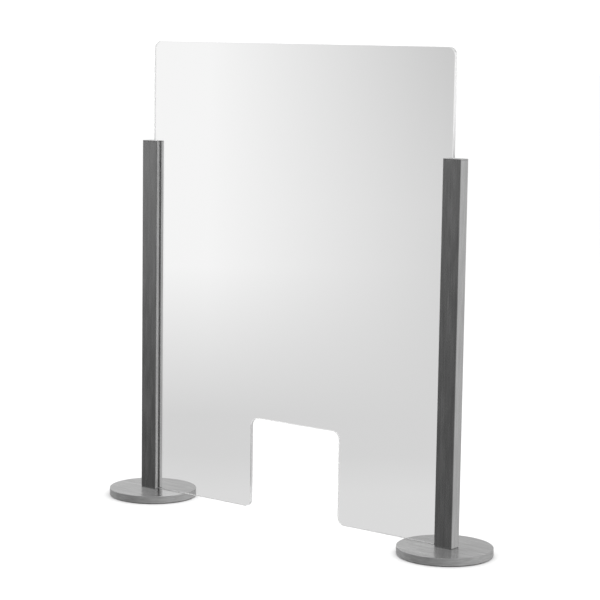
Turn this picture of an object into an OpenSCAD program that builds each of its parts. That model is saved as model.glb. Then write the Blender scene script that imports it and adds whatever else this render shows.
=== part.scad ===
// Freestanding sneeze guard for a serving counter: a clear panel with a pass-through
// cut-out, held by its side edges in two slotted steel posts on round weighted bases.
//
// Frame: millimetres, +Z up. The origin is on the counter, midway between the posts.
// +X runs along the panel from the left stand to the right one, and +Y points away
// from the side that the guard is served from.

/* [Panel] */
// Width of the clear panel
panel_w = 609.6; // [400:0.1:900]
// Height of the clear panel
panel_h = 762; // [500:1:1000]
// Thickness of the clear sheet
panel_t = 6; // [3:0.5:10]
// Radius of the panel's corners and of the pass-through's corners
corner_r = 12.7; // [6:0.1:25]

/* [Pass-through] */
// Width of the pass-through in the panel's lower edge
notch_w = 182; // [120:1:240]
// Height of the pass-through above the panel's lower edge
notch_h = 150; // [80:1:250]
// Offset of the pass-through from the panel's middle, towards the right stand
notch_shift = 6.5; // [-60:0.5:60]

/* [Posts] */
// Height of each post above its base, with the cap
post_h = 596; // [300:1:750]
// Width of the post along the panel
post_w = 33; // [30:0.5:60]
// Depth of the post across the panel
post_d = 20.5; // [20:0.5:40]
// Wall thickness of the post tube
post_wall = 1.5; // [1:0.1:2]
// Thickness of the plate that closes the top of the post
cap_t = 1.5; // [1:0.1:4]
// Length of the cap's plug inside the tube
cap_plug_h = 8; // [4:0.5:20]

/* [Slots] */
// How far the panel's edge sits inside each post
edge_cover = 13.3; // [6:0.1:15]
// Gap between the panel's edge and the bottom of the lined slot
edge_play = 1; // [0.5:0.1:2]
// Gap between each face of the panel and the slot liner
face_play = 0.25; // [0.1:0.05:0.5]
// Wall thickness of the slot liner
liner_t = 0.6; // [0.4:0.1:1]
// Sheet thickness of the channel behind the slot
channel_t = 1.2; // [0.8:0.1:2]

/* [Bases] */
// Diameter of each base plate
base_dia = 150; // [100:1:250]
// Thickness of each base plate
base_t = 12; // [8:0.5:25]
// How far the centre of the base sits inwards from the centre of its post
base_inset = 3; // [0:0.5:15]
// Rounding of the plate's upper edge
base_round = 1; // [0.5:0.1:3]
// Chamfer of the plate's lower edge
base_chamfer = 0.6; // [0.2:0.1:2]
// Thickness of the non-slip pad
pad_t = 1.5; // [1:0.1:4]
// How far the pad's edge sits inside the plate's edge
pad_margin = 3; // [1:0.5:10]
// Diameter of the opening in the pad that leaves the screws free
pad_opening_dia = 50; // [45:1:70]

/* [Fixings] */
// Thread diameter of the two screws that hold each post to its base
screw_dia = 4; // [3:1:4]
// Overall length of the countersunk screws
screw_len = 30; // [25:1:40]
// Distance between the two screws
screw_pitch = 10; // [9:0.5:11]
// Height of the threaded block inside the foot of the post
block_h = 25; // [25:1:60]

/* [Hidden] */

$fn = 96;
left = -1;
right = 1;
eps = 0.01;    // overshoot of a cut past the face it opens

base_top = pad_t + base_t;                     // counter to the plate's upper face
post_x = panel_w / 2 - edge_cover + post_w / 2; // middle of the panel to a post's middle
slot_w = panel_t + 2 * face_play + 2 * liner_t; // opening in the post, filled by the liner
slot_depth = edge_cover + edge_play + liner_t;  // post's inner face to the channel's web
slot_face = post_w / 2;                        // the post's inner face, from its middle
channel_back = slot_face - slot_depth - channel_t;
tube_h = post_h - cap_t;

// The closed chamber behind the channel holds the threaded block and the cap's plug
chamber_outer = -post_w / 2 + post_wall;
chamber_w = channel_back - chamber_outer;
chamber_d = post_d - 2 * post_wall;
chamber_mid = (channel_back + chamber_outer) / 2;

thread_gap = 0.05;                             // radial gap between a screw and its thread
screw_hole_dia = screw_dia + 0.5;              // clearance hole through the base plate
screw_head_dia = 2 * screw_dia;                // 90 degree countersunk head
screw_head_h = (screw_head_dia - screw_dia) / 2;
hex_key = 0.625 * screw_dia;                   // across the flats of the socket
hex_depth = 0.5 * screw_dia;
thread_spare = 2;                              // depth of the tapped hole past the screw's tip
cap_slot_w = panel_t + 0.9;                    // narrower than the liner, which it covers
cap_slot_depth = edge_cover + edge_play;
plug_gap = 0.1;                                // between the cap's plug and the tube

// Colours
clear_acrylic = [0.86, 0.90, 0.92, 0.35];
brushed_steel = [0.62, 0.62, 0.63];
dark_steel = [0.42, 0.42, 0.44];
liner_black = [0.13, 0.13, 0.14];
pad_black = [0.08, 0.08, 0.08];

// A rectangle with round corners, centred on the origin
module rounded_rect(w, d, r) {
    square([w - 2 * r, d], center = true);
    square([w, d - 2 * r], center = true);
    for (x = [-1, 1], y = [-1, 1])
        translate([x * (w / 2 - r), y * (d / 2 - r)]) circle(r = r);
}

// A U of sheet, open towards +X: its mouth at mouth_x and its web's outer face at back_x
module u_section(mouth_x, back_x, outer_w, wall) {
    difference() {
        translate([back_x, -outer_w / 2]) square([mouth_x - back_x, outer_w]);
        translate([back_x + wall, -outer_w / 2 + wall])
            square([mouth_x - back_x, outer_w - 2 * wall]);
    }
}

// Every piece of a stand is drawn with the post's middle at the origin and its slot
// facing +X. This puts it at one end of the panel, facing the other end.
module at_end(side) {
    translate([side * post_x, 0, 0])
        mirror([side == right ? 1 : 0, 0, 0])
            children();
}

// Repeats a piece at both screws of a stand
module at_screws() {
    for (y = [-1, 1])
        translate([chamber_mid, y * screw_pitch / 2, pad_t])
            children();
}

// Cuts the lower corner of the pass-through away, leaving a round nose on the panel
module nose_cut(side) {
    overlap = 1;
    mirror([side == right ? 0 : 1, 0]) difference() {
        translate([notch_w / 2 - overlap, -overlap])
            square([corner_r + overlap, corner_r + overlap]);
        translate([notch_w / 2 + corner_r, corner_r]) circle(r = corner_r);
    }
}

// Outline of the panel, with the middle of its lower edge at the origin
module panel_outline() {
    difference() {
        translate([0, panel_h / 2]) rounded_rect(panel_w, panel_h, corner_r);
        translate([notch_shift, 0]) {
            rounded_rect(notch_w, 2 * notch_h, corner_r);
            nose_cut(left);
            nose_cut(right);
        }
    }
}

module acrylic_panel() {
    color(clear_acrylic)
        translate([0, panel_t / 2, base_top])
            rotate([90, 0, 0])
                linear_extrude(panel_t) panel_outline();
}

// Non-slip ring under the base, open in the middle for the screws
module base_pad(side) {
    color(pad_black)
        at_end(side) translate([base_inset, 0, 0])
            difference() {
                cylinder(h = pad_t, d = base_dia - 2 * pad_margin);
                translate([0, 0, -1]) cylinder(h = pad_t + 2, d = pad_opening_dia);
            }
}

// Half section of the base plate: round upper edge, chamfered lower edge
module base_section() {
    base_r = base_dia / 2;
    polygon([
        [0, 0], [base_r - base_chamfer, 0], [base_r, base_chamfer],
        [base_r, base_t - base_round], [0, base_t - base_round]
    ]);
    square([base_r - base_round, base_t]);
    translate([base_r - base_round, base_t - base_round]) circle(r = base_round);
}

// Solid turned plate, drilled and countersunk from below
module base_plate(side) {
    color(brushed_steel)
        at_end(side) difference() {
            translate([base_inset, 0, pad_t])
                rotate_extrude() base_section();
            at_screws() {
                translate([0, 0, -1]) cylinder(h = base_t + 2, d = screw_hole_dia);
                translate([0, 0, -eps])
                    cylinder(
                        h = screw_head_h + eps,
                        d1 = screw_head_dia + 0.5,
                        d2 = screw_hole_dia
                    );
            }
        }
}

// Two countersunk socket screws, heads level with the plate's lower face
module base_screws(side) {
    color(dark_steel)
        at_end(side) at_screws() difference() {
            union() {
                cylinder(h = screw_head_h, d1 = screw_head_dia, d2 = screw_dia);
                cylinder(h = screw_len, d = screw_dia);
            }
            translate([0, 0, -1])
                cylinder(h = hex_depth + 1, d = hex_key / cos(30), $fn = 6);
        }
}

// Threaded block pressed and welded into the foot of the post
module foot_block(side) {
    color(dark_steel)
        at_end(side) difference() {
            translate([chamber_outer, -chamber_d / 2, base_top])
                cube([chamber_w, chamber_d, block_h]);
            at_screws() cylinder(h = screw_len + thread_spare, d = screw_dia + 2 * thread_gap);
        }
}

// Rectangular tube with a slot down the whole of its inner face
module post(side) {
    color(brushed_steel)
        at_end(side) translate([0, 0, base_top])
            linear_extrude(tube_h) difference() {
                rounded_rect(post_w, post_d, post_wall);
                square([post_w - 2 * post_wall, chamber_d], center = true);
                translate([0, -slot_w / 2]) square([post_w, slot_w]);
            }
}

// Folded channel welded behind the slot, which carries the liner
module slot_channel(side) {
    color(dark_steel)
        at_end(side) translate([0, 0, base_top])
            linear_extrude(tube_h)
                u_section(slot_face - post_wall, channel_back, slot_w + 2 * channel_t, channel_t);
}

// Soft lining that the panel's edge slides in
module slot_liner(side) {
    color(liner_black)
        at_end(side) translate([0, 0, base_top])
            linear_extrude(tube_h)
                u_section(slot_face, slot_face - slot_depth, slot_w, liner_t);
}

// Plate that closes the top of the post, with a plug that locates it in the tube
module post_cap(side) {
    color(brushed_steel)
        at_end(side) translate([0, 0, base_top + tube_h]) {
            linear_extrude(cap_t) difference() {
                rounded_rect(post_w, post_d, post_wall);
                translate([slot_face - cap_slot_depth, -cap_slot_w / 2])
                    square([cap_slot_depth + 1, cap_slot_w]);
            }
            translate([
                chamber_outer + plug_gap,
                -chamber_d / 2 + plug_gap,
                -cap_plug_h
            ])
                cube([chamber_w - 2 * plug_gap, chamber_d - 2 * plug_gap, cap_plug_h + eps]);
        }
}

acrylic_panel();

base_pad(left);  // left_base_pad
base_plate(left);  // left_base_plate
base_screws(left);  // left_base_screws
foot_block(left);  // left_foot_block
post(left);  // left_post
slot_channel(left);  // left_slot_channel
slot_liner(left);  // left_slot_liner
post_cap(left);  // left_post_cap

base_pad(right);  // right_base_pad
base_plate(right);  // right_base_plate
base_screws(right);  // right_base_screws
foot_block(right);  // right_foot_block
post(right);  // right_post
slot_channel(right);  // right_slot_channel
slot_liner(right);  // right_slot_liner
post_cap(right);  // right_post_cap
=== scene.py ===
# Freestanding sneeze guard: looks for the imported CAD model. Lengths are metres unless a name says mm.
import math

import bmesh
import bpy
from mathutils import Matrix, Vector


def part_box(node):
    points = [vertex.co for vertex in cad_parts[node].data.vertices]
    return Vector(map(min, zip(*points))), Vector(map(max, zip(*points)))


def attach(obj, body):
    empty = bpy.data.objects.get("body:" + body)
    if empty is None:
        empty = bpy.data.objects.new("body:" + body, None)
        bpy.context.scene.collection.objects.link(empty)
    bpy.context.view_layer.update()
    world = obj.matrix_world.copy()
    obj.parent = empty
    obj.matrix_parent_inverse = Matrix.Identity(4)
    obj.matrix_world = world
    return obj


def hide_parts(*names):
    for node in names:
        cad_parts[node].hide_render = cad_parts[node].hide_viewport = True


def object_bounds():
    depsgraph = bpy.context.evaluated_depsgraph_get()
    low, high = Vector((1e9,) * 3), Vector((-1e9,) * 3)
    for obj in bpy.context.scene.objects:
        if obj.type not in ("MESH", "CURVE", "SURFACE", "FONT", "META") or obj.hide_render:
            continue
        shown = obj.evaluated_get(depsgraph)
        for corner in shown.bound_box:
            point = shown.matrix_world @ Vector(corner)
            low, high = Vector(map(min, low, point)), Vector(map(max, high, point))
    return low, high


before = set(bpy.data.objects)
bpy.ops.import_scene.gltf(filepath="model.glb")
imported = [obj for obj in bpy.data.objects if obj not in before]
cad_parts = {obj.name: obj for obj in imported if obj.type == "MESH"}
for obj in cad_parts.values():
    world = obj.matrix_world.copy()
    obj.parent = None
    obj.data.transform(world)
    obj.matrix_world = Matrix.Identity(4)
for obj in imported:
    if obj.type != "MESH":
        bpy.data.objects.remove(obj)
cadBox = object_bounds()
mm = 0.001
sides = {"left": -1, "right": 1}
print("stage: frame loaded,", len(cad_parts), "CAD nodes")


# camera: a long lens from the serving side, slightly above the posts
cameraSpec = {
    "position": (2.045, -2.5322, 0.7965),
    "yawDeg": 38.75,        # turned left of straight across the counter
    "pitchDeg": 7.52,       # looking down
    "rollDeg": 0.82,
    "lensMm": 122.5,
    "sensorMm": 36.0,
}


def makeCamera(spec):
    yaw, pitch, roll = (math.radians(spec[k]) for k in ("yawDeg", "pitchDeg", "rollDeg"))
    data = bpy.data.cameras.new("camera")
    data.lens = spec["lensMm"]
    data.sensor_width = spec["sensorMm"]
    data.clip_end = 100
    camera = bpy.data.objects.new("camera", data)
    bpy.context.scene.collection.objects.link(camera)
    turn = (Matrix.Rotation(yaw, 4, "Z") @ Matrix.Rotation(math.pi / 2 - pitch, 4, "X")
            @ Matrix.Rotation(roll, 4, "Z"))
    camera.matrix_world = Matrix.Translation(spec["position"]) @ turn
    bpy.context.scene.camera = camera


makeCamera(cameraSpec)
print("stage: camera placed")


# node and colour helpers
def linear(hexColour, alpha=1.0):
    # sRGB hex to the linear colour that shaders take
    parts = [int(hexColour[i:i + 2], 16) / 255 for i in (1, 3, 5)]
    return (*[c / 12.92 if c <= 0.04045 else ((c + 0.055) / 1.055) ** 2.4 for c in parts], alpha)


def addNode(tree, kind, inputs=None, **settings):
    # inputs maps a socket to a value, or to another node's output, which is linked
    node = tree.nodes.new(kind)
    for name, value in settings.items():
        setattr(node, name, value)
    for socket, value in (inputs or {}).items():
        if isinstance(value, bpy.types.NodeSocket):
            tree.links.new(value, node.inputs[socket])
        else:
            node.inputs[socket].default_value = value
    return node


def newTree(name):
    material = bpy.data.materials.new(name)
    material.use_nodes = True
    material.node_tree.nodes.clear()
    return material, material.node_tree


# materials
def brushedStainless(name, spec):
    # 304 stainless rubbed with an abrasive belt: fine scratches along one axis spread highlights
    # sideways, and slow cloudy changes in tone run the same way as the scratches
    material, tree = newTree(name)
    place = addNode(tree, "ShaderNodeTexCoord").outputs["Object"]
    across, along = 1 / (spec["scratchMm"] * mm), 1 / (spec["scratchLengthMm"] * mm)
    scratchScale = [along if axis == spec["grain"] else across for axis in "XYZ"]
    cloudScale = [1 / (spec["cloudLengthMm"] * mm) if axis == spec["grain"] else 1 / (spec["cloudMm"] * mm)
                  for axis in "XYZ"]
    scratchPlace = addNode(tree, "ShaderNodeMapping", {"Vector": place, "Scale": scratchScale})
    cloudPlace = addNode(tree, "ShaderNodeMapping", {"Vector": place, "Scale": cloudScale})
    scratch = addNode(tree, "ShaderNodeTexNoise",
                      {"Vector": scratchPlace.outputs[0], "Scale": 1.0, "Detail": 3.0, "Roughness": 0.65})
    cloud = addNode(tree, "ShaderNodeTexNoise",
                    {"Vector": cloudPlace.outputs[0], "Scale": 1.0, "Detail": 2.0, "Roughness": 0.5})
    tone = addNode(tree, "ShaderNodeMix", {"Factor": spec["cloudShare"], "A": scratch.outputs["Fac"],
                                           "B": cloud.outputs["Fac"]})
    colour = addNode(tree, "ShaderNodeValToRGB", {"Fac": tone.outputs["Result"]})
    low, high = colour.color_ramp.elements
    low.position, low.color = 0.32, linear(spec["darkHex"])
    high.position, high.color = 0.68, linear(spec["lightHex"])
    rough = addNode(tree, "ShaderNodeMapRange",
                    {"Value": tone.outputs["Result"], "From Min": 0.3, "From Max": 0.7,
                     "To Min": spec["roughness"][0], "To Max": spec["roughness"][1]})
    bump = addNode(tree, "ShaderNodeBump", {"Height": scratch.outputs["Fac"], "Strength": spec["bump"],
                                            "Distance": spec["scratchDepthMm"] * mm})
    tangent = addNode(tree, "ShaderNodeTangent", direction_type="RADIAL", axis=spec["tangentAxis"])
    shader = addNode(tree, "ShaderNodeBsdfPrincipled",
                     {"Base Color": colour.outputs["Color"], "Metallic": 1.0,
                      "Roughness": rough.outputs["Result"], "Anisotropic": spec["anisotropy"],
                      "Anisotropic Rotation": spec["turn"], "Normal": bump.outputs["Normal"],
                      "Tangent": tangent.outputs["Tangent"]})
    addNode(tree, "ShaderNodeOutputMaterial", {"Surface": shader.outputs["BSDF"]})
    return material


# Real scratches are about 0.05 mm wide. They are drawn 1.1 mm wide on the posts and 2.2 mm on the
# base plates, which is about the finest that shows.
steelSpec = {
    "grain": "Z", "tangentAxis": "Z", "turn": 0.0,
    "scratchMm": 1.1, "scratchLengthMm": 90, "scratchDepthMm": 0.02, "bump": 0.35,
    "cloudMm": 9, "cloudLengthMm": 60, "cloudShare": 0.45,
    "darkHex": "#b3b3b3", "lightHex": "#cecece", "roughness": (0.20, 0.31), "anisotropy": 0.55,
}
postSteel = brushedStainless("brushedStainlessSteelLengthwise", steelSpec)
plateSteel = brushedStainless("brushedStainlessSteelPlate", {
    **steelSpec, "grain": "X", "tangentAxis": "X", "scratchMm": 2.2, "cloudMm": 12, "cloudLengthMm": 60,
    "darkHex": "#ababab", "lightHex": "#d4d4d4", "roughness": (0.17, 0.30)})
capSteel = brushedStainless("brushedStainlessSteelCap", {**steelSpec, "grain": "X", "tangentAxis": "X"})


def turnedStainless(name, spec):
    # The same steel turned on a lathe: fine rings round the rim, one above the other
    material, tree = newTree(name)
    place = addNode(tree, "ShaderNodeTexCoord").outputs["Object"]
    split = addNode(tree, "ShaderNodeSeparateXYZ", {"Vector": place})
    rings = addNode(tree, "ShaderNodeTexNoise",
                    {"W": split.outputs["Z"], "Scale": 1 / (spec["ringMm"] * mm), "Detail": 4.0,
                     "Roughness": 0.7}, noise_dimensions="1D")
    cloudAcross, cloudUp = 1 / (spec["cloudMm"] * mm), 1 / (spec["ringMm"] * 2 * mm)
    cloudPlace = addNode(tree, "ShaderNodeMapping",
                         {"Vector": place, "Scale": (cloudAcross, cloudAcross, cloudUp)})
    cloud = addNode(tree, "ShaderNodeTexNoise",
                    {"Vector": cloudPlace.outputs[0], "Scale": 1.0, "Detail": 2.0})
    tone = addNode(tree, "ShaderNodeMix",
                   {"Factor": 0.5, "A": rings.outputs["Fac"], "B": cloud.outputs["Fac"]})
    colour = addNode(tree, "ShaderNodeValToRGB", {"Fac": tone.outputs["Result"]})
    low, high = colour.color_ramp.elements
    low.position, low.color = 0.35, linear(spec["darkHex"])
    high.position, high.color = 0.65, linear(spec["lightHex"])
    rough = addNode(tree, "ShaderNodeMapRange",
                    {"Value": tone.outputs["Result"], "From Min": 0.3, "From Max": 0.7,
                     "To Min": spec["roughness"][0], "To Max": spec["roughness"][1]})
    bump = addNode(tree, "ShaderNodeBump", {"Height": rings.outputs["Fac"], "Strength": spec["bump"],
                                            "Distance": spec["ringDepthMm"] * mm})
    tangent = addNode(tree, "ShaderNodeTangent", direction_type="RADIAL", axis="Z")
    shader = addNode(tree, "ShaderNodeBsdfPrincipled",
                     {"Base Color": colour.outputs["Color"], "Metallic": 1.0,
                      "Roughness": rough.outputs["Result"], "Anisotropic": spec["anisotropy"],
                      "Anisotropic Rotation": 0.25, "Normal": bump.outputs["Normal"],
                      "Tangent": tangent.outputs["Tangent"]})
    addNode(tree, "ShaderNodeOutputMaterial", {"Surface": shader.outputs["BSDF"]})
    return material


rimSteel = turnedStainless("turnedStainlessSteelRim", {
    "ringMm": 0.9, "ringDepthMm": 0.03, "bump": 0.4, "cloudMm": 14,
    "darkHex": "#b3b3b3", "lightHex": "#d5d5d5", "roughness": (0.50, 0.62), "anisotropy": 0.2})


def clearAcrylic(name, spec):
    # Cast acrylic: the faces are clear and mirror-smooth, with the slow waviness of casting. The edges
    # take the same shader with a rougher surface and less transmission.
    material, tree = newTree(name)
    place = addNode(tree, "ShaderNodeTexCoord").outputs["Object"]
    wave = addNode(tree, "ShaderNodeTexNoise", {"Vector": place, "Scale": 1 / (spec["waveMm"] * mm),
                                               "Detail": 1.0, "Roughness": 0.4})
    bump = addNode(tree, "ShaderNodeBump", {"Height": wave.outputs["Fac"], "Strength": spec["bump"],
                                            "Distance": spec["waveDepthMm"] * mm})
    shader = addNode(tree, "ShaderNodeBsdfPrincipled",
                     {"Base Color": linear(spec["tintHex"]), "Roughness": spec["roughness"], "IOR": 1.49,
                      "Transmission Weight": spec["clear"], "Normal": bump.outputs["Normal"]})
    addNode(tree, "ShaderNodeOutputMaterial", {"Surface": shader.outputs["BSDF"]})
    return material


acrylicFace = clearAcrylic("castAcrylicSheet", {
    "tintHex": "#ffffff", "roughness": 0.0, "clear": 1.0, "waveMm": 120, "waveDepthMm": 0.05, "bump": 0.3})
# Saw-cut and lightly flamed: the fine saw marks that are left scatter light, so the edge looks frosted
acrylicEdge = clearAcrylic("flamedAcrylicEdge", {
    "tintHex": "#f0f0f0", "roughness": 0.4, "clear": 0.55, "waveMm": 25, "waveDepthMm": 0.02, "bump": 0.3})
# The lower edge is left as sawn, because it stands out of sight on the bases: rougher than the others. Its
# darker tint is painted shade for the joint where the sheet stands on the bases
acrylicFootPaintedShade = clearAcrylic("sawnAcrylicFootPaintedShade", {
    "tintHex": "#c4c4c4", "roughness": 0.6, "clear": 0.7, "waveMm": 4, "waveDepthMm": 0.03, "bump": 0.4})


def plainFinish(name, spec):
    # Rubber, plastic and rough steel: one colour with a fine grain in tone, gloss and height
    material, tree = newTree(name)
    place = addNode(tree, "ShaderNodeTexCoord").outputs["Object"]
    grain = addNode(tree, "ShaderNodeTexNoise", {"Vector": place, "Scale": 1 / (spec["grainMm"] * mm),
                                                "Detail": 4.0, "Roughness": 0.6})
    colour = addNode(tree, "ShaderNodeValToRGB", {"Fac": grain.outputs["Fac"]})
    low, high = colour.color_ramp.elements
    low.position, low.color = 0.3, linear(spec["darkHex"])
    high.position, high.color = 0.7, linear(spec["lightHex"])
    rough = addNode(tree, "ShaderNodeMapRange",
                    {"Value": grain.outputs["Fac"], "From Min": 0.3, "From Max": 0.7,
                     "To Min": spec["roughness"][0], "To Max": spec["roughness"][1]})
    bump = addNode(tree, "ShaderNodeBump", {"Height": grain.outputs["Fac"], "Strength": spec["bump"],
                                            "Distance": spec["grainDepthMm"] * mm})
    shader = addNode(tree, "ShaderNodeBsdfPrincipled",
                     {"Base Color": colour.outputs["Color"], "Metallic": spec.get("metallic", 0.0),
                      "Roughness": rough.outputs["Result"], "Normal": bump.outputs["Normal"],
                      "IOR": spec.get("ior", 1.5)})
    addNode(tree, "ShaderNodeOutputMaterial", {"Surface": shader.outputs["BSDF"]})
    return material


millSteel = plainFinish("millFinishStainlessSteel", {
    "grainMm": 1.5, "grainDepthMm": 0.02, "bump": 0.3, "metallic": 1.0,
    "darkHex": "#8f8f8f", "lightHex": "#a8a8a8", "roughness": (0.4, 0.55)})
blackSteel = plainFinish("blackOxideSteel", {
    "grainMm": 0.8, "grainDepthMm": 0.01, "bump": 0.3, "metallic": 1.0,
    "darkHex": "#2a2a2b", "lightHex": "#3c3c3d", "roughness": (0.35, 0.5)})
linerPvc = plainFinish("softPvcLiner", {
    "grainMm": 0.6, "grainDepthMm": 0.02, "bump": 0.4, "ior": 1.53,
    "darkHex": "#5e5e5e", "lightHex": "#727272", "roughness": (0.5, 0.65)})
padRubber = plainFinish("nitrileRubberPad", {
    "grainMm": 0.5, "grainDepthMm": 0.05, "bump": 0.6, "ior": 1.52,
    "darkHex": "#121212", "lightHex": "#1e1e1e", "roughness": (0.75, 0.9)})
print("stage: materials made")


# mesh helpers
def roundedLoop(corners, steps=12):
    # corners are (x, y, radius), in order round the outline, and each becomes an arc of that radius
    loop = []
    for i, (x, y, radius) in enumerate(corners):
        here = Vector((x, y))
        back = (Vector(corners[i - 1][:2]) - here).normalized()
        ahead = (Vector(corners[(i + 1) % len(corners)][:2]) - here).normalized()
        if radius <= 0:
            loop.append(here)
            continue
        half = back.angle(ahead) / 2
        centre = here + (back + ahead).normalized() * (radius / math.sin(half))
        start = here + back * (radius / math.tan(half)) - centre
        sweep = start.angle_signed(here + ahead * (radius / math.tan(half)) - centre)
        for k in range(steps + 1):
            loop.append(centre + Matrix.Rotation(-sweep * k / steps, 2) @ start)
    return loop


def insetLoop(loop, distance):
    # Every point of a counter-clockwise outline moved inwards, mitred at its corners. The outward
    # corners need a radius wider than the distance, or the outline folds over itself.
    moved = []
    for i, here in enumerate(loop):
        before = (here - loop[i - 1]).normalized()
        after = (loop[(i + 1) % len(loop)] - here).normalized()
        inA, inB = Vector((-before.y, before.x)), Vector((-after.y, after.x))
        way = (inA + inB).normalized()
        moved.append(here + way * (distance / max(way.dot(inA), 0.3)))     # 0.3 limits sharp mitres
    return moved


def prism(name, loop, low, high, place, edgeRound=0.0, steps=3, recess=None, materials=()):
    # An outline pushed from low to high, with rounded rims. place turns (u, v, height) into a point.
    # A recess (depth, height) takes the place of the lower rim and leaves a shadow gap there.
    # Slot 0 of materials is for the flat ends and the recess, and slot 1 for the walls.
    work = bmesh.new()
    levels = []
    for k in range(steps + 1 if edgeRound else 1):
        angle = math.pi / 2 * k / steps
        levels.append((edgeRound * (1 - math.sin(angle)), low + edgeRound * (1 - math.cos(angle))))
    upper = [(inset, low + high - height) for inset, height in reversed(levels)]
    if recess:
        levels = [(recess[0], low), (recess[0], low + recess[1]), (0.0, low + recess[1])]
    firstWall = len(levels) - 1 if recess else 0
    levels += upper
    rings = [[work.verts.new(place(p.x, p.y, height)) for p in insetLoop(loop, inset)]
             for inset, height in levels]
    for number, (lower, upper) in enumerate(zip(rings, rings[1:])):
        for i in range(len(loop)):
            wall = work.faces.new((lower[i - 1], lower[i], upper[i], upper[i - 1]))
            wall.material_index = 1 if number >= firstWall else 0
    ends = [work.faces.new(reversed(rings[0])), work.faces.new(rings[-1])]
    for end in ends:
        end.normal_update()
    bmesh.ops.triangulate(work, faces=ends)
    return finishMesh(name, work, materials or (millSteel, millSteel))


def lathe(name, profile, centre, segments=192, materials=(), slotOf=None):
    # profile is a list of (radius, z), and a point at radius 0 becomes one vertex on the axis
    work = bmesh.new()
    rings = []
    for radius, z in profile:
        if radius < 1e-9:
            rings.append([work.verts.new((centre.x, centre.y, z))])
            continue
        rings.append([work.verts.new((centre.x + radius * math.cos(math.tau * i / segments),
                                      centre.y + radius * math.sin(math.tau * i / segments), z))
                      for i in range(segments)])
    for number, (first, second) in enumerate(zip(rings, rings[1:])):
        for i in range(segments):
            quad = [first[i - 1 if len(first) > 1 else 0], first[i if len(first) > 1 else 0],
                    second[i if len(second) > 1 else 0], second[i - 1 if len(second) > 1 else 0]]
            face = work.faces.new(list(dict.fromkeys(quad)))
            face.material_index = slotOf(number) if slotOf else 0
    return finishMesh(name, work, materials)


def finishMesh(name, work, materials, smoothDeg=24):
    bmesh.ops.recalc_face_normals(work, faces=work.faces)
    mesh = bpy.data.meshes.new(name)
    work.to_mesh(mesh)
    work.free()
    mesh.shade_smooth()
    mesh.set_sharp_from_angle(angle=math.radians(smoothDeg))
    for material in materials:
        mesh.materials.append(material)
    piece = bpy.data.objects.new(name, mesh)
    bpy.context.scene.collection.objects.link(piece)
    return piece


def weighNormals(piece):
    # flat faces keep their own normals beside small rounds
    modifier = piece.modifiers.new("faceNormals", "WEIGHTED_NORMAL")
    modifier.keep_sharp = True


def combine(piece, others, operation):
    # cuts the other shapes out of the piece or joins them to it, then removes them
    for other in others:
        modifier = piece.modifiers.new("combine", "BOOLEAN")
        modifier.operation, modifier.solver, modifier.object = operation, "EXACT", other
    bpy.context.view_layer.update()
    graph = bpy.context.evaluated_depsgraph_get()
    newMesh = bpy.data.meshes.new_from_object(piece.evaluated_get(graph))
    oldMesh = piece.data
    piece.modifiers.clear()
    piece.data = newMesh
    bpy.data.meshes.remove(oldMesh)
    newMesh.name = piece.name
    for other in others:
        bpy.data.objects.remove(other)


def handOver(piece, body, node):
    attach(piece, body)
    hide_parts(node)


# the clear panel
panelSpec = {
    "cornerRadiusMm": 12.7,
    "passThroughWidthMm": 182,
    "passThroughHeightMm": 150,
    "passThroughShiftMm": 6.5,     # off the middle, towards the right stand
    "edgeRoundMm": 0.8,            # the rounded arris along every edge
    "footMm": 1.0,                 # walls below this height have the sawn finish, whose darker tint is painted shade
    "arrisTilt": 0.35,             # walls that tilt further than this towards a face are clear like it
}


def makePanel(spec):
    low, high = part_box("acrylic_panel")
    radius = spec["cornerRadiusMm"] * mm
    middle = (low.x + high.x) / 2 + spec["passThroughShiftMm"] * mm
    notchLeft = middle - spec["passThroughWidthMm"] * mm / 2
    notchRight = middle + spec["passThroughWidthMm"] * mm / 2
    notchTop = low.z + spec["passThroughHeightMm"] * mm
    outline = [(low.x, low.z), (notchLeft, low.z), (notchLeft, notchTop), (notchRight, notchTop),
               (notchRight, low.z), (high.x, low.z), (high.x, high.z), (low.x, high.z)]
    loop = roundedLoop([(x, z, radius) for x, z in outline], steps=20)
    panel = prism("clearPanel", loop, low.y, high.y, lambda u, v, h: (u, h, v),
                  edgeRound=spec["edgeRoundMm"] * mm, materials=(acrylicFace, acrylicEdge, acrylicFootPaintedShade))
    for face in panel.data.polygons:
        # the lowest walls take the sawn foot: rougher, with a darker tint that is painted shade where the
        # sheet stands on the bases
        if face.material_index == 1 and face.center.z < low.z + spec["footMm"] * mm:
            face.material_index = 2
        elif face.material_index == 1 and abs(face.normal.y) > spec["arrisTilt"]:
            face.material_index = 0
    weighNormals(panel)
    panel.visible_shadow = False       # clear sheet: lamps reach what is behind it
    panel.visible_diffuse = False
    handOver(panel, "panel", "acrylic_panel")


makePanel(panelSpec)
print("stage: panel made")


# the two stands: their fixed values, then a function for each piece
postSpec = {
    "wallMm": 1.5,
    "outerRadiusMm": 1.5,
    "slotEdgeRadiusMm": 0.6,       # deburred edges, wider than the recess and the end round
    "bendRadiusMm": 0.3,           # inside the bends of the tube
    "endRoundMm": 0.5,             # makes the fine joint line under the cap
    "recessMm": 0.5, "recessHeightMm": 0.9,     # the shadow gap where the tube stands on the base
}
capSpec = {
    "plateMm": 1.5, "edgeRoundMm": 0.35,
    "slotWidthMm": 6.9, "slotEndRadiusMm": 0.8,
    "slotMouthRadiusMm": 0.45,     # wider than the edge round
    "plugGapMm": 0.1, "plugChamferMm": 0.5,
}
linerSpec = {"lipRoundMm": 0.25, "wallMm": 0.6, "foldRadiusMm": 0.1, "endRoundMm": 0.1}
baseSpec = {
    "topRoundMm": 0.7, "bottomChamferMm": 0.6,
    "screwHoleMm": 4.5, "countersinkMm": 8.5, "padRoundMm": 0.3, "padOpeningMm": 50,
}
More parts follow.
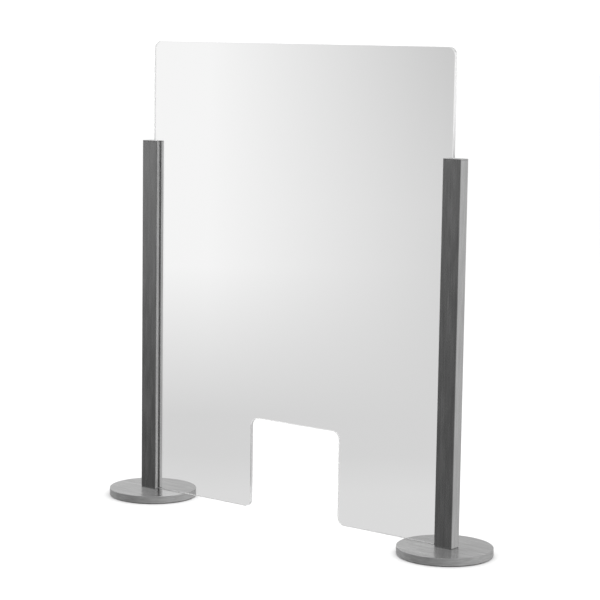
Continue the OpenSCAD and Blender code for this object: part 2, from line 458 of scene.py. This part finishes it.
screwSpec = {
    "diameterMm": 4, "headMm": 8, "headRoundMm": 0.15, "socketMm": 2.5, "socketDepthMm": 2,
    "pitchMm": 0.7, "threadDepthMm": 0.35, "crestMm": 0.1,
}
cutPastMm = 1       # how far a cutter reaches past the face that it cuts


def standing(sign, middleX):
    # outlines are drawn for the left stand, with its slot facing +X, and turned round for the right one
    return lambda u, v, h: (middleX - sign * u, -sign * v, h)


def makePost(side, sign):
    low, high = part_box(f"{side}_post")
    linerLow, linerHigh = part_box(f"{side}_slot_liner")
    middleX = (low.x + high.x) / 2
    halfW, halfD = (high.x - low.x) / 2, (high.y - low.y) / 2
    halfSlot = (linerHigh.y - linerLow.y) / 2
    wall, outer, lip = (postSpec[k] * mm for k in ("wallMm", "outerRadiusMm", "slotEdgeRadiusMm"))
    inner = postSpec["bendRadiusMm"] * mm
    corners = [
        (halfW, halfSlot, lip), (halfW, halfD, outer), (-halfW, halfD, outer),
        (-halfW, -halfD, outer), (halfW, -halfD, outer), (halfW, -halfSlot, lip),
        (halfW - wall, -halfSlot, lip), (halfW - wall, -halfD + wall, inner),
        (-halfW + wall, -halfD + wall, inner), (-halfW + wall, halfD - wall, inner),
        (halfW - wall, halfD - wall, inner), (halfW - wall, halfSlot, lip),
    ]
    post = prism(f"{side}Post", roundedLoop(corners, steps=6), low.z, high.z,
                 standing(sign, middleX), edgeRound=postSpec["endRoundMm"] * mm, steps=1,
                 recess=(postSpec["recessMm"] * mm, postSpec["recessHeightMm"] * mm),
                 materials=(millSteel, postSteel))
    weighNormals(post)
    handOver(post, f"{side}_stand", f"{side}_post")


def makeLiner(side, sign):
    low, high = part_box(f"{side}_slot_liner")
    middleX = (low.x + high.x) / 2
    halfW, halfD = (high.x - low.x) / 2, (high.y - low.y) / 2
    lip, wall, fold = (linerSpec[k] * mm for k in ("lipRoundMm", "wallMm", "foldRadiusMm"))
    corners = [
        (halfW, halfD, lip), (-halfW, halfD, lip), (-halfW, -halfD, lip), (halfW, -halfD, lip),
        (halfW, -halfD + wall, lip), (-halfW + wall, -halfD + wall, fold),
        (-halfW + wall, halfD - wall, fold), (halfW, halfD - wall, lip),
    ]
    liner = prism(f"{side}SlotLiner", roundedLoop(corners, steps=4), low.z, high.z,
                  standing(sign, middleX), edgeRound=linerSpec["endRoundMm"] * mm, steps=1,
                  materials=(linerPvc, linerPvc))
    handOver(liner, f"{side}_stand", f"{side}_slot_liner")


def makeCap(side, sign):
    low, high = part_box(f"{side}_post_cap")
    linerLow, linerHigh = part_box(f"{side}_slot_liner")
    blockLow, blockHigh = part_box(f"{side}_foot_block")
    middleX = (low.x + high.x) / 2
    halfW, halfD = (high.x - low.x) / 2, (high.y - low.y) / 2
    outer, halfSlot = postSpec["outerRadiusMm"] * mm, capSpec["slotWidthMm"] * mm / 2
    mouth, end = capSpec["slotMouthRadiusMm"] * mm, capSpec["slotEndRadiusMm"] * mm
    plateBottom = high.z - capSpec["plateMm"] * mm
    slotEnd = halfW - (linerHigh.x - linerLow.x) + linerSpec["wallMm"] * mm
    corners = [
        (halfW, halfSlot, mouth), (halfW, halfD, outer), (-halfW, halfD, outer),
        (-halfW, -halfD, outer), (halfW, -halfD, outer), (halfW, -halfSlot, mouth),
        (slotEnd, -halfSlot, end), (slotEnd, halfSlot, end),
    ]
    cap = prism(f"{side}PostCap", roundedLoop(corners, steps=6), plateBottom, high.z,
                standing(sign, middleX), edgeRound=capSpec["edgeRoundMm"] * mm,
                materials=(capSteel, postSteel))
    # the plug fills the closed chamber of the tube, as the threaded block does at its foot
    gap, chamfer = capSpec["plugGapMm"] * mm, capSpec["plugChamferMm"] * mm
    plugLow, plugHigh = sorted(-sign * (x - middleX) for x in (blockLow.x, blockHigh.x))
    plugHalfD = (blockHigh.y - blockLow.y) / 2 - gap
    corners = [(u, v, 0) for u, v in ((plugHigh - gap, plugHalfD), (plugLow + gap, plugHalfD),
                                      (plugLow + gap, -plugHalfD), (plugHigh - gap, -plugHalfD))]
    intoPlate = 1.5 * chamfer          # past its own chamfer, so that the two join
    plug = prism("plug", roundedLoop(corners), low.z, plateBottom + intoPlate,
                 standing(sign, middleX), edgeRound=chamfer, steps=1, materials=(millSteel, millSteel))
    combine(cap, [plug], "UNION")
    weighNormals(cap)
    handOver(cap, f"{side}_stand", f"{side}_post_cap")


def arc(centreR, centreZ, radius, startDeg, endDeg, steps=6):
    turns = [math.radians(startDeg + (endDeg - startDeg) * k / steps) for k in range(steps + 1)]
    return [(centreR + radius * math.cos(t), centreZ + radius * math.sin(t)) for t in turns]


def makeBase(side):
    low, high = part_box(f"{side}_base_plate")
    screwLow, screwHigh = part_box(f"{side}_base_screws")
    centre, radius = (low + high) / 2, (high.x - low.x) / 2
    curve, chamfer = baseSpec["topRoundMm"] * mm, baseSpec["bottomChamferMm"] * mm
    faceRings = [radius * share for share in (0, 0.25, 0.5, 0.75)]
    profile = [(r, low.z) for r in faceRings] + [(radius - chamfer, low.z), (radius, low.z + chamfer)]
    firstRim = len(profile) - 2
    profile += arc(radius - curve, high.z - curve, curve, 0, 90)
    lastRim = len(profile) - 5         # the upper two thirds of the round take the finish of the top
    profile += [(r, high.z) for r in reversed(faceRings)]
    plate = lathe(f"{side}BasePlate", profile, centre, materials=(plateSteel, rimSteel),
                  slotOf=lambda n: 1 if firstRim <= n < lastRim else 0)
    headR, holeR = baseSpec["countersinkMm"] * mm / 2, baseSpec["screwHoleMm"] * mm / 2
    screwX = (screwLow.x + screwHigh.x) / 2
    halfHead = screwSpec["headMm"] * mm / 2
    sinkTop = low.z + headR - holeR
    below, above = low.z - cutPastMm * mm, high.z + cutPastMm * mm
    outline = [(0, below), (headR, below), (headR, low.z), (holeR, sinkTop), (holeR, above), (0, above)]
    cutters = [lathe("cutter", outline, Vector((screwX, y, 0)), segments=48)
               for y in (screwLow.y + halfHead, screwHigh.y - halfHead)]
    combine(plate, cutters, "DIFFERENCE")
    weighNormals(plate)
    plate.visible_glossy = False       # the feet of the posts stay as dark as the rest of them
    handOver(plate, f"{side}_stand", f"{side}_base_plate")


def makePad(side):
    low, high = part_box(f"{side}_base_pad")
    centre, outer = (low + high) / 2, (high.x - low.x) / 2
    inner, curve = baseSpec["padOpeningMm"] * mm / 2, baseSpec["padRoundMm"] * mm
    section = (arc(outer - curve, low.z + curve, curve, -90, 0, 3)
               + arc(outer - curve, high.z - curve, curve, 0, 90, 3)
               + arc(inner + curve, high.z - curve, curve, 90, 180, 3)
               + arc(inner + curve, low.z + curve, curve, 180, 270, 3))
    pad = lathe(f"{side}BasePad", section + section[:1], centre, segments=128, materials=(padRubber,))
    pad.visible_glossy = False
    handOver(pad, f"{side}_stand", f"{side}_base_pad")


def makeScrews(side):
    # countersunk socket screws, drawn as one piece because the CAD node holds both
    low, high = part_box(f"{side}_base_screws")
    spec = {k: v * mm for k, v in screwSpec.items()}
    middleX = (low.x + high.x) / 2
    headR, shankR = spec["headMm"] / 2, spec["diameterMm"] / 2
    rootR = shankR - spec["threadDepthMm"]
    headTop = low.z + headR - shankR
    turns = int((high.z - headTop - spec["pitchMm"]) / spec["pitchMm"])
    rim, pitch = spec["headRoundMm"], spec["pitchMm"]
    profile = [(0, low.z), (headR - rim, low.z), (headR, low.z + rim), (shankR, headTop)]
    for turn in range(turns):
        z = headTop + turn * pitch
        profile += [(shankR, z + spec["crestMm"]), (rootR, z + pitch / 2), (shankR, z + pitch)]
    profile += [(rootR, high.z), (0, high.z)]
    parts = []
    for y in (low.y + headR, high.y - headR):
        centre = Vector((middleX, y, 0))
        screw = lathe(f"{side}BaseScrews", profile, centre, segments=32, materials=(blackSteel,))
        socketR = spec["socketMm"] / 2 / math.cos(math.pi / 6)
        socketTop, below = low.z + spec["socketDepthMm"], low.z - cutPastMm * mm
        outline = [(0, below), (socketR, below), (socketR, socketTop), (0, socketTop)]
        combine(screw, [lathe("cutter", outline, centre, segments=6)], "DIFFERENCE")     # hex socket
        parts.append(screw)
    bpy.context.view_layer.update()
    with bpy.context.temp_override(active_object=parts[0], selected_editable_objects=parts):
        bpy.ops.object.join()
    parts[0].name = f"{side}BaseScrews"
    handOver(parts[0], f"{side}_stand", f"{side}_base_screws")


def dressCad(side):
    # the folded channel and the threaded block keep their CAD shape, with eased edges
    for node, width in ((f"{side}_slot_channel", 0.1), (f"{side}_foot_block", 0.3)):
        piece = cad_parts[node]
        for number in range(len(piece.data.materials)):
            piece.data.materials[number] = millSteel
        piece.modifiers.new("joinedFaces", "WELD").merge_threshold = 1e-6     # CAD faces come apart
        bevel = piece.modifiers.new("easedEdges", "BEVEL")
        bevel.width, bevel.segments, bevel.limit_method = width * mm, 2, "ANGLE"


for side, sign in sides.items():
    makePost(side, sign)
    makeLiner(side, sign)
    makeCap(side, sign)
    makeBase(side)
    makePad(side)
    makeScrews(side)
    dressCad(side)
    print("stage:", side, "stand made")


# floor, lights and surroundings
floorSpec = {"radius": 40, "hex": "#f2f2f2"}


def makeFloor(spec):
    bpy.ops.mesh.primitive_circle_add(vertices=96, radius=spec["radius"], fill_type="NGON",
                                      location=(0, 0, cadBox[0].z))
    floor = bpy.context.object
    floor.name = "counterTop"
    material, tree = newTree("paleFloor")
    shader = addNode(tree, "ShaderNodeBsdfDiffuse", {"Color": linear(spec["hex"])})
    addNode(tree, "ShaderNodeOutputMaterial", {"Surface": shader.outputs["BSDF"]})
    floor.data.materials.append(material)
    floor.visible_glossy = False           # the steel mirrors the dim studio round the white sweep
    floor.visible_transmission = False


lightSpec = {
    "softbox": {"size": 2.6, "power": 14, "position": (0.3, 0.2, 2.4), "aim": (0, 0, 0)},
}


def makeLights(spec):
    for name, values in spec.items():
        data = bpy.data.lights.new(name, "AREA")
        data.shape, data.size, data.energy = "SQUARE", values["size"], values["power"]
        lamp = bpy.data.objects.new(name, data)
        bpy.context.scene.collection.objects.link(lamp)
        lamp.location = values["position"]
        way = Vector(values["aim"]) - Vector(values["position"])
        lamp.rotation_mode = "QUATERNION"
        lamp.rotation_quaternion = way.to_track_quat("-Z", "Y")
        lamp.visible_glossy = False


studioSpec = {
    "white": 1.15,                          # what the camera sees past the floor
    "fill": 1.14,                           # soft light on the floor from all round
    # what the steel mirrors: (start, end, level at start, level at end) along one direction
    "frontByHeight": (-0.24, -0.05, 0.07, 0.15),
    "backByDepth": (-0.6, 0.5, 0.0, 0.48),
    "rightByWidth": (0.1, 0.6, 0.0, 0.15),
    "leftByWidth": (-0.58, -0.75, 0.0, 0.35),
    "leftByHeight": (-0.16, -0.08, 0.0, 1.0),
    "leftByDepth": (0.2, 0.6, 1.0, 0.5),
    "overFrontByHeight": (0.02, 0.16, 0.0, 0.32),
    "underFrontByHeight": (-0.38, -0.65, 0.0, 0.35),
    "frontRightByWidth": (-0.7, -0.5, 0.0, 0.07),
    "frontRightByHeight": (-0.12, -0.22, 0.0, 1.0),
    "frontSide": (0.3, -0.3, 0.0, 1.0),
    # what shows through the panel: a soft glow high on the left, even below
    "sheetAcross": (-0.07, 0.045, 0.0, 1.0),
    "sheetUp": (-0.187, -0.115, 0.0, 1.0),
    "sheetTopRight": (-0.085, -0.005, 0.0, -0.08),
    "sheetFoot": (-0.205, -0.222, 0.0, 0.05),
    "sheetBase": 0.68,
    "sheetGlow": 0.26,
}


def makeWorld(spec):
    # The camera sees a white sweep, the steel mirrors a studio that is brighter behind than in
    # front, and what shows through the panel has a soft grey tone of its own
    world = bpy.data.worlds.new("studio")
    bpy.context.scene.world = world
    world.use_nodes = True
    tree = world.node_tree
    tree.nodes.clear()
    way = addNode(tree, "ShaderNodeTexCoord").outputs["Generated"]
    split = addNode(tree, "ShaderNodeSeparateXYZ", {"Vector": way})
    x, y, z = (split.outputs[k] for k in "XYZ")

    def graded(value, key):
        start, end, low, high = spec[key]
        return addNode(tree, "ShaderNodeMapRange", {"Value": value, "From Min": start, "From Max": end,
                                                    "To Min": low, "To Max": high}).outputs["Result"]

    def chain(operation, *values):
        total = values[0]
        for value in values[1:]:
            total = addNode(tree, "ShaderNodeMath", {0: total, 1: value}, operation=operation).outputs[0]
        return total

    leftGlow = chain("MULTIPLY", graded(x, "leftByWidth"), graded(z, "leftByHeight"),
                     graded(y, "leftByDepth"))
    frontRight = chain("MULTIPLY", graded(x, "frontRightByWidth"), graded(z, "frontRightByHeight"))
    frontOnly = chain("ADD", graded(z, "overFrontByHeight"), graded(z, "underFrontByHeight"), frontRight)
    mirrored = chain("ADD", graded(z, "frontByHeight"), graded(y, "backByDepth"), graded(x, "rightByWidth"),
                     leftGlow, chain("MULTIPLY", frontOnly, graded(y, "frontSide")))
    # across the camera's line of sight, growing towards its left
    yaw = math.radians(cameraSpec["yawDeg"])
    leftness = addNode(tree, "ShaderNodeVectorMath",
                       {0: way, 1: (-math.cos(yaw), -math.sin(yaw), 0.0)},
                       operation="DOT_PRODUCT").outputs["Value"]
    across = graded(leftness, "sheetAcross")
    glow = chain("MULTIPLY", across, graded(z, "sheetUp"), spec["sheetGlow"])
    topRight = chain("MULTIPLY", chain("SUBTRACT", 1.0, across), graded(z, "sheetTopRight"))
    through = chain("ADD", glow, topRight, graded(z, "sheetFoot"), spec["sheetBase"])
    path = addNode(tree, "ShaderNodeLightPath")
    level = spec["fill"]
    for ray, value in (("Is Glossy Ray", mirrored), ("Is Transmission Ray", through),
                       ("Is Camera Ray", spec["white"])):
        level = addNode(tree, "ShaderNodeMix", {"Factor": path.outputs[ray], "A": level, "B": value})
        level = level.outputs["Result"]
    surface = addNode(tree, "ShaderNodeBackground", {"Color": (1, 1, 1, 1), "Strength": level})
    addNode(tree, "ShaderNodeOutputWorld", {"Surface": surface.outputs["Background"]})


def allowLongPaths(bounces=128):
    # light that enters the cut edge crosses the whole sheet in about sixty reflections
    cycles = bpy.context.scene.cycles
    cycles.max_bounces = bounces
    cycles.glossy_bounces = bounces
    cycles.transmission_bounces = bounces


makeFloor(floorSpec)
makeLights(lightSpec)
makeWorld(studioSpec)
allowLongPaths()
bpy.context.scene.view_settings.view_transform = "Standard"
print("stage: studio lit")
